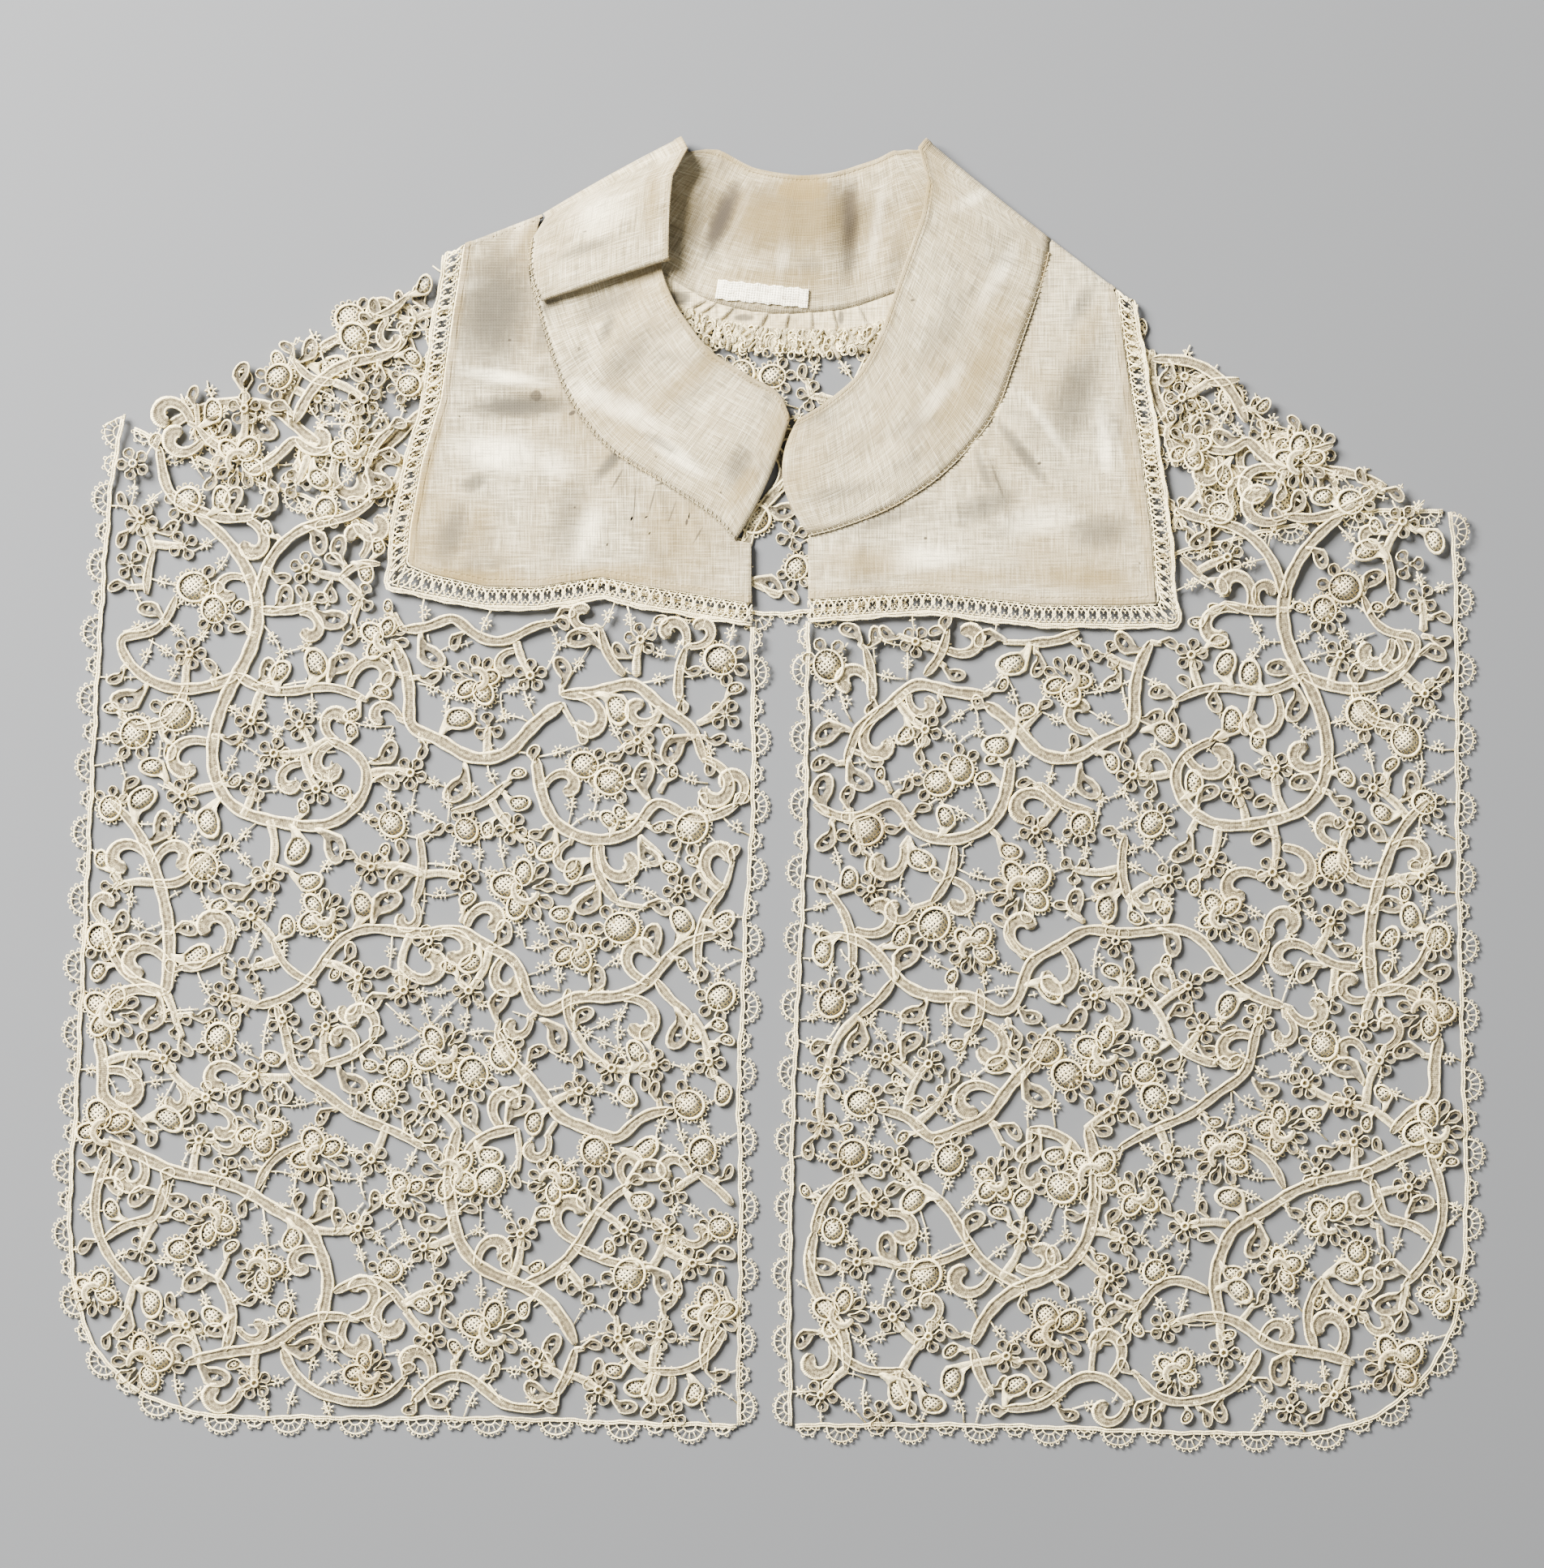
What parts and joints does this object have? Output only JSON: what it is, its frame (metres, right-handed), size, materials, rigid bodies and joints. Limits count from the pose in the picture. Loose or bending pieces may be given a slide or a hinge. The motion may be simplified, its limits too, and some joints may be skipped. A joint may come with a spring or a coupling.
{
  "type": "lace collar",
  "caption": "Flat-laid falling collar of raised needle lace with scalloped edges, linen yoke fronts, a pleated back strip and a folded linen neckband.",
  "frame": {"origin": "centre of the collar's bounding box, on the surface it lies on", "axes": "+X across the collar towards the right of the picture, +Y up the picture from the hem to the neck, +Z out of the surface towards the front side of the cloth"},
  "size_m": [0.4408, 0.4044, 0.0099],
  "materials": {
    "needle_lace": "matt cream linen thread, worked in close stitches",
    "linen": "fine plain-woven linen, yellowed at hems and folds",
    "tape": "plain woven tape"
  },
  "bodies": {
    "root": {"lace_front_left": "needle_lace", "lace_front_right": "needle_lace", "lace_back": "needle_lace", "insertion_left": "needle_lace", "insertion_right": "needle_lace", "yoke_left": "linen", "yoke_right": "linen", "back_strip": "linen", "neckband": "linen", "neck_tape": "tape"}
  },
  "joints": []
}
